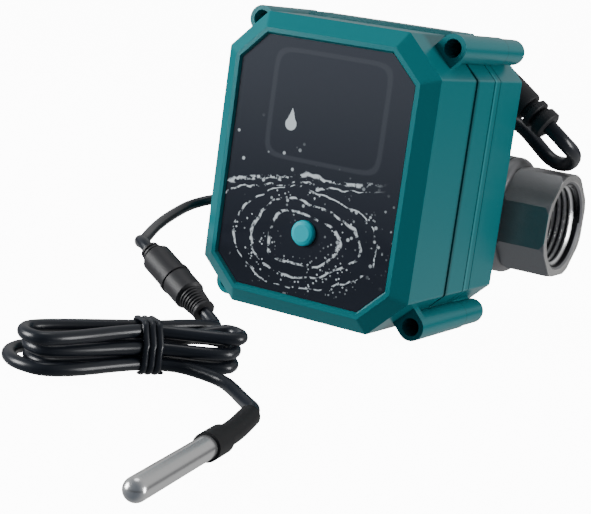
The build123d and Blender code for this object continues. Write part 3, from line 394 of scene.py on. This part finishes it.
casing_route = [
    (-46.0, 33.6, -17.8), (-52.6, 31.5, -19.6), (-55.4, 25.5, -21.4), (-54.6, 18.0, -22.8),
    (-51.8, 8.0, -23.9), (-47.6, -3.0, -24.8), (-41.6, -15.0, -25.2), (-35.2, -26.0, -24.8),
    (-29.0, -36.0, -23.2), (-24.2, -43.2, -20.8),
]
gland_way = Vector((-1, 0, 0))
points = [gland_end, gland_end + gland_way * lead_run / 2, *(Vector(place) for place in casing_route)]
points += [connector_start - connector_way * lead_run / 2, connector_start]
casing_lead = lay_cord("casing_lead_jacket", points, lead_diameter)
cable.cover(casing_lead)
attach(casing_lead, "valve")
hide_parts("sensor_lead_casing")

# Sensor lead, second length: from the connector's socket half into a tied hank, and on to the probe.
# The hank is three and a half loops in three layers, drawn together where the tie holds them.
waist = Vector((8.5, -78.0, 0))
hank_turn = radians(53.13)
hank_u = Vector((cos(hank_turn), sin(hank_turn), 0))
hank_v = Vector((sin(hank_turn), -cos(hank_turn), 0))
tie_thickness = 0.8
tie_slack = 0.15
hank_low = floor_level + floor_gap + tie_thickness + tie_slack + lead_diameter / 2
layer_step = lead_diameter + turn_gap
middle_route = [(13.0, -60.2, -33.8), (11.9, -63.3, -33.4)]
hank_ends = [
    (-33.5, 7.2, 6.8, 2), (19.8, 3.0, 4.8, 2), (-31.2, 3.4, 6.6, 1), (19.4, 0.0, 8.6, 1),
    (-30.0, 0.6, 7.6, 0), (19.4, -0.2, 7.4, 0), (-34.9, 1.2, 12.2, 0),
]
waist_places = [(-2.0, 2), (1.8, 2), (0.0, 1), (3.6, 1), (-3.6, 1), (0.2, 0), (-3.5, 0), (3.9, 0)]
waist_shift = -2.5
waist_reach_in = 3.2
waist_reach_out = 2.6
lead_in_across = -4.4
lead_out_across = 4.1
lead_off_across = 5.6
probe_route = [
    (23.1, -77.4, -40.6), (28.1, -77.6, -41.0), (32.5, -80.2, -41.3), (37.3, -84.3, -41.3),
    (42.2, -89.0, -40.9),
]
sleeve_start = Vector((49.0, -99.3, -39.9))
sleeve_bend = Vector((52.9, -111.2, -39.9))


def hank_place(along, across, layer):
    """A place in the hank: along it, across it and by its layer."""
    height = Vector((0, 0, hank_low + layer * layer_step))
    return waist + hank_u * along + hank_v * across + height


end_corners = 4
corner_turn = pi / end_corners
points = [connector_end, connector_end + connector_way * lead_run]
points += [Vector(place) for place in middle_route]
points.append(hank_place(waist_reach_in + lead_run, lead_in_across, 2))
for number, (across, layer) in enumerate(waist_places):
    out = 1 if number % 2 else -1
    points.append(hank_place(waist_shift - waist_reach_in * out, across, layer))
    if number < len(hank_ends):
        points.append(hank_place(waist_shift + waist_reach_out * out, across, layer))
        reach, middle, radius, end_layer = hank_ends[number]
        corner_radius = radius / cos(corner_turn / 2)
        for corner in range(end_corners):
            angle = corner_turn * (corner + 0.5)
            along = reach - out * radius + out * corner_radius * sin(angle)
            points.append(hank_place(along, middle + out * corner_radius * cos(angle), end_layer))
points.append(hank_place(0, lead_out_across, 0))
points.append(hank_place(lead_run, lead_off_across, 0))
sleeve_way = (sleeve_bend - sleeve_start).normalized()
points += [*(Vector(place) for place in probe_route), sleeve_start - sleeve_way * lead_run, sleeve_start]
probe_lead = lay_cord("probe_lead_jacket", points, lead_diameter)
cable.cover(probe_lead)
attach(probe_lead, "valve")
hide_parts("sensor_lead_middle", "sensor_hank", "sensor_lead_probe")

# Hank tie: a flat black wire, plastic over soft steel, wound three times round the hank's waist.
# It is pulled tight over the outer loops, so it turns round each of them in its own small arc.
strand_width = 0.8
strand_thickness = 0.47
tie_turns = 3
tie_pitch = 1.7
tie_slant = 0.14
tie_corners = [(3.9, 0), (3.6, 1), (1.8, 2), (-2.0, 2), (-3.6, 1), (-3.5, 0)]
corner_steps = 6
section_steps = 12
outline = []
for number, (across, layer) in enumerate(tie_corners):
    before = tie_corners[number - 1]
    after = tie_corners[(number + 1) % len(tie_corners)]
    way_in = Vector((across - before[0], (layer - before[1]) * layer_step))
    way_out = Vector((after[0] - across, (after[1] - layer) * layer_step))
    first = atan2(-way_in.x, way_in.y)
    bend = way_in.angle_signed(way_out)
    for step in range(corner_steps + 1):
        angle = first - bend * step / corner_steps
        outline.append((across, layer, angle))
stand = lead_diameter / 2 + tie_slack + strand_thickness
shape = bmesh.new()
rings = []
for step in range(tie_turns * len(outline) + 1):
    across, layer, angle = outline[step % len(outline)]
    along = waist_shift + tie_pitch * (step / len(outline) - tie_turns / 2) + tie_slant * across
    outward = hank_v * cos(angle) + Vector((0, 0, sin(angle)))
    middle = hank_place(along, across, layer) + outward * stand
    ring = []
    for side in range(section_steps):
        turn = 2 * pi * side / section_steps
        place = middle + hank_u * strand_width * cos(turn) + outward * strand_thickness * sin(turn)
        ring.append(shape.verts.new(from_casing(*place)))
    rings.append(ring)
join_rings(shape, rings)
tie = mesh_piece("wound_tie", shape)
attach(tie, "valve")
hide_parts("hank_tie")

# Casing: cover and shell are injection moulded in teal ABS with a fine spark texture.
# Four long screws from the front draw them together over a rubber gasket.
# The joint behind the groove is a dark line; shade is painted darker into the groove round its side, and a
# highlight is painted lighter onto a line between them.
teal_colour = (0.001, 0.21, 0.235)
joint_colour = (0.0, 0.07, 0.08)
painted_groove_shade = (0.0, 0.12, 0.135)
painted_ridge_highlight = (0.03, 0.33, 0.36)
joint_depth = 43.0
joint_half = 0.3
groove_depth = 26.9
groove_half = 2.2
ridge_depth = 40.2
ridge_half = 0.5
boss_side = 25.5
boss_level = 33.0
band_core = 0.35


def in_casing(finish):
    """A finish's three axes in millimetres from the casing's front centre."""
    return [axis * 1000 - centre for axis, centre in zip(finish.axes(), casing_centre)]


def band(value, middle, half):
    """A soft line where a value passes its middle."""
    return 1 - (value - middle).maths("ABSOLUTE").between(half * band_core, half)


teal = Finish("teal moulding", teal_colour, roughness=0.3, specular_ior_level=0.4)
aside, depth, level = in_casing(teal)
wall = 1 - (aside.maths("ABSOLUTE") > boss_side) * (level.maths("ABSOLUTE") > boss_level)
lines = band(depth, joint_depth, joint_half).mixed(teal_colour, joint_colour)
# Painted shade: the groove round the walls is darkened to stand in for the shade in it.
lines = (band(depth, groove_depth, groove_half) * wall).mixed(lines, painted_groove_shade)
# Painted highlight: a lighter line between groove and joint stands in for a lit edge.
lines = (band(depth, ridge_depth, ridge_half) * wall).mixed(lines, painted_ridge_highlight)
teal.set("Base Color", lines)
teal.bump(teal.noise(scale=1800, detail=2), strength=0.1, distance=0.00005)
teal.cover("front_cover", "rear_shell")

# Label: a dark gloss film, printed on its back and stuck in the cover's sunk face.
# It carries ripples round the button, a low wave, droplets, one drop and a faint window, and its ground is
# painted lighter towards the top as a sheen.
film_colour = (0.012, 0.015, 0.02)
film_low_colour = (0.018, 0.022, 0.032)
film_painted_sheen_colour = (0.07, 0.078, 0.095)
film_sheen_fade = (-30.0, 42.0)
window_colour = (0.16, 0.175, 0.2)
print_colour = (0.8, 0.88, 0.92)
ripple_centre = -19.5
ripple_width_share = 0.62
ripple_height_share = 1.5
ripples_drawn = [(9.0, 0.6), (13.2, 0.5), (17.6, 0.35)]
ripple_wobble = 9
ripple_grain = (0.44, 0.56)
wave_lines = [(0.0, 0.9), (-2.6, 0.45)]
wave_level = -1.5
wave_slope = 0.16
wave_wobble = 14
wave_grain = (0.46, 0.56)
wave_fade = (14.0, 24.0)
mist_middle = 13.2
mist_half = 9.0
mist_cells = 800.0
mist_dots = (0.16, 0.3)
mist_patches = (0.48, 0.54)
spray_level = -6.0
spray_slope = 0.35
spray_half = 14.0
spray_cells = 300.0
spray_dots = (0.1, 0.2)
spray_strength = 0.8
drop_x = -9.0
drop_z = 12.0
drop_radius = 1.8
drop_blur = 0.1
drop_tip = 4.6
drop_narrowing = 0.37
window_x = 2.0
window_z = 17.5
window_half_width = 18.0
window_half_height = 15.0
window_power = 9.0
window_line = 0.06
window_strength = 0.2
film = Finish("label film", film_colour, roughness=0.1)
across, _, height = in_casing(film)


def most(mask, *others):
    """The strongest of several masks."""
    for other in others:
        mask = mask.maths("MAXIMUM", other)
    return mask


def droplets(cells, small, large):
    """Round dots, one in each cell of the film."""
    place = film.place()
    spots = place.node("ShaderNodeTexVoronoi", None, {"Vector": place, "Scale": cells})
    return 1 - spots.between(small, large)


wobble = film.noise(scale=70, detail=3) - 0.5
grain = film.noise(scale=520, detail=5)
low = height - ripple_centre
spread = (across * across * ripple_width_share + low * low * ripple_height_share).maths("SQRT")
spread = spread + wobble * ripple_wobble
ripples = most(*(band(spread, reach, half) for reach, half in ripples_drawn))
ripples = ripples * grain.between(*ripple_grain)
swell = height - wave_level - across * wave_slope + wobble * wave_wobble
wave = most(*(band(swell, middle, half) for middle, half in wave_lines))
wave = wave * grain.between(*wave_grain) * (1 - across.between(*wave_fade))
mist = droplets(mist_cells, *mist_dots) * band(spread, mist_middle, mist_half)
mist = mist * film.noise(scale=150, detail=3).between(*mist_patches)
spray = droplets(spray_cells, *spray_dots)
spray = spray * band(height - spray_level + across * spray_slope, 0.0, spray_half) * (height < spray_half)
drop_side = across - drop_x
drop_up = height - drop_z
drop_reach = (drop_side * drop_side + drop_up * drop_up).maths("SQRT")
drop_body = 1 - drop_reach.between(drop_radius - drop_blur, drop_radius + drop_blur)
drop_peak = (drop_up > 0) * (drop_side.maths("ABSOLUTE") < (drop_tip - drop_up) * drop_narrowing)
window_side = (across - window_x).maths("ABSOLUTE") / window_half_width
window_rise = (height - window_z).maths("ABSOLUTE") / window_half_height
window_edge = window_side.maths("POWER", window_power) + window_rise.maths("POWER", window_power)
window = band(window_edge.maths("POWER", 1 / window_power), 1.0, window_line) * window_strength
# Painted sheen: the film's ground runs lighter towards the top, standing in for a reflection.
ground = height.between(*film_sheen_fade).mixed(film_low_colour, film_painted_sheen_colour)
ground = window.mixed(ground, window_colour)
print_mask = most(ripples, wave, mist, spray * spray_strength, drop_body, drop_peak)
film.set("Base Color", print_mask.mixed(ground, print_colour))
film.cover("label_panel")

# Manual button: a domed cap moulded in turquoise, with a skirt that keeps it behind the wall.
# It slides in the cover's hole and presses the switch's plunger.
cap = Finish("button cap", (0.0, 0.52, 0.62), roughness=0.4, specular_ior_level=0.15)
cap.cover("manual_button")

# Valve: barrel and end cap are investment cast in stainless steel and blasted.
# The mouths are turned bright afterwards, and shade is painted dark into the tapped bores between the
# threads.
cast_colour = (0.3, 0.3, 0.31)
painted_bore_shade = (0.04, 0.04, 0.045)
mouth_colour = (0.7, 0.69, 0.68)
cast_roughness = 0.42
mouth_polish = 0.2
pipe_centre = Vector((13.0, 86.0, -12.5))
port_start = 12.0
mouth_start = 31.2
mouth_end = 31.4
bore_edge = 13.4
bore_blur = 0.1


def from_pipe(finish):
    """How far a point is from the ball along the pipe, and from the pipe's axis, in millimetres."""
    along, back, up = (axis - middle for axis, middle in zip(in_casing(finish), pipe_centre))
    return along.maths("ABSOLUTE"), (back * back + up * up).maths("SQRT")


cast = Finish("cast stainless", cast_colour, cast_roughness, metallic=0.7)
from_ball, from_axis = from_pipe(cast)
mouth = from_ball.between(mouth_start, mouth_end)
# Painted shade: the tapped bores beyond the ports' start are darkened to stand in for the shade inside them.
bore = 1 - from_axis.between(bore_edge - bore_blur, bore_edge + bore_blur)
skin_with_bore_shade = (bore * (from_ball > port_start)).mixed(cast_colour, painted_bore_shade)
cast.set("Base Color", mouth.mixed(skin_with_bore_shade, mouth_colour))
cast.set("Roughness", cast_roughness - mouth * mouth_polish)
cast.bump(cast.noise(scale=900, detail=3), strength=0.35, distance=0.0001)
cast.cover("valve_body", "end_cap")
turned = Finish("turned steel", (0.8, 0.8, 0.8), roughness=0.26, metallic=0.85)
turned.cover("ball", "stem", "probe_tube", "power_plug_barrel")

# Pipe threads: a ridge that winds down each port from its mouth, cut in the same steel.
# Its crest is bright steel and shade is painted dark at its foot, and it runs out at both ends.
thread_root = 13.3
thread_crest = 12.1
thread_reach = 30.0
thread_pitch = 1.95
thread_turns = 7
thread_steps = 48
thread_run_out = 1 / 3
crest_colour = (0.95, 0.95, 0.95)
bright_depth = 0.3
dark_depth = 0.15
ridge = [(-0.55, 0), (-0.12, 1), (0.12, 1), (0.55, 0)]
cut = Finish("cut thread", (0.9, 0.9, 0.9), roughness=0.25, metallic=0.8)
_, from_axis = from_pipe(cut)
# Painted shade: the thread's foot is darkened towards the root, standing in for the shade between the turns.
painted_foot_shade = from_axis.between(thread_crest + bright_depth, thread_root - dark_depth)
cut.set("Base Color", painted_foot_shade.mixed(crest_colour, painted_bore_shade))
for side, name in ((1, "right_thread"), (-1, "left_thread")):
    shape = bmesh.new()
    rings = []
    for step in range(thread_turns * thread_steps + 1):
        turn = step / thread_steps
        rise = min(1, turn / thread_run_out, (thread_turns - turn) / thread_run_out)
        angle = 2 * pi * turn
        ring = []
        for offset, share in ridge:
            along = side * (thread_reach - thread_pitch * turn + offset * thread_pitch)
            radius = thread_root - (thread_root - thread_crest) * share * rise
            place = pipe_centre + Vector((along, radius * cos(angle), radius * sin(angle)))
            ring.append(shape.verts.new(from_casing(*place)))
        rings.append(ring)
    join_rings(shape, rings, closed=False)
    threads = mesh_piece(name, shape)
    cut.cover(threads)
    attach(threads, "valve")

# Power cord outlet: an elbow and a sleeve, moulded in one piece of black rubber on the cord.
# The elbow plugs into the back wall, and two thick rings let the sleeve's tip bend with the cord.
back_wall = 59.2
elbow_start = Vector((outlet_elbow.x, back_wall, outlet_elbow.z))
elbow_way = Vector((0, 1, 0))
elbow_outline = [
    (0, 5.4), (2.2, 5.4), (2.21, 6.2), (3.7, 6.2), (4.1, 5.8), (4.2, 5.4), (11.8, 5.4), (14.6, 4.6),
    (16.4, 3.0), (17.2, 0.4),
]
sleeve_outline = [
    (-2.0, 1.0), (-1.0, 4.0), (0, 5.2), (12.0, 5.0), (18.6, 4.7), (19.2, 4.3), (19.3, 3.3), (20.6, 3.3),
]
ring_radius = 4.65
ring_edge_radius = 4.2
ring_edge = 0.4
ring_drop = 0.1
foot_radius = 3.2
for ring_start, ring_width in ((20.7, 2.3), (24.4, 3.4)):
    ring_end = ring_start + ring_width
    sleeve_outline += [
        (ring_start, ring_edge_radius), (ring_start + ring_edge, ring_radius),
        (ring_end - ring_edge, ring_radius), (ring_end, ring_edge_radius),
        (ring_end + ring_drop, foot_radius),
    ]
shape = bmesh.new()
lathe(shape, elbow_start, elbow_way, elbow_outline)
lathe(shape, outlet_elbow, outlet_way, sleeve_outline)
outlet = mesh_piece("outlet_sleeve", shape)
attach(outlet, "valve")
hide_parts("power_outlet")

# Connector, plug, gland and outlet: dark mouldings with a matte skin, moulded onto their cords.
# The probe's sleeve is heat-shrunk tube, duller still, and the tie has the cords' own plastic.
moulding = Finish("connector moulding", (0.028, 0.028, 0.031), roughness=0.5, specular_ior_level=0.4)
moulding.bump(moulding.noise(scale=1500, detail=3), strength=0.2, distance=0.00006)
moulding.cover(plug_half, "coupling_ring", socket_half, "sensor_gland", "power_plug", outlet)
shrink = Finish("heat shrink", (0.007, 0.0075, 0.009), roughness=0.55, specular_ior_level=0.35)
shrink.bump(shrink.noise(scale=700, detail=3), strength=0.25, distance=0.00012)
shrink.cover("probe_sleeve")
cable.cover(tie)

# Inner pieces: the gear train, its plates and motor, the board and its parts, seals and screws.
# They are out of sight or deep in a hole, so each kind has one plain finish in its own material.
inner_finishes = {
    "screw steel": ((0.55, 0.55, 0.56), 0.3, 1.0, (
        "valve_screws", "case_screws", "board_screws", "gearbox_screws", "gear_pillars", "gear_axles",
        "front_gear_plate", "back_gear_plate", "motor", "motor_screws", "motor_shaft", "output_shaft",
        "radio_module",
    )),
    "sintered brass": ((0.72, 0.5, 0.2), 0.4, 1.0, ("motor_pinion", "front_bush", "rear_bush")),
    "white nylon": ((0.75, 0.74, 0.7), 0.5, 0.0, (
        "first_gear", "second_gear", "third_gear", "output_gear", "position_cam", "right_seat",
        "left_seat", "thrust_washer",
    )),
    "board lacquer": ((0.01, 0.12, 0.04), 0.3, 0.0, ("circuit_board", "terminal_block")),
    "black nylon": ((0.02, 0.02, 0.02), 0.45, 0.0, (
        "push_switch", "switch_plunger", "motor_driver", "limit_switch_open", "limit_switch_closed",
    )),
    "black rubber": ((0.015, 0.015, 0.015), 0.7, 0.0, ("case_gasket", "cap_seal", "stem_seals")),
    "capacitor can": ((0.6, 0.6, 0.62), 0.3, 1.0, ("capacitors",)),
}
for name, (colour, roughness, metallic, nodes) in inner_finishes.items():
    Finish(name, colour, roughness, metallic).cover(*nodes)
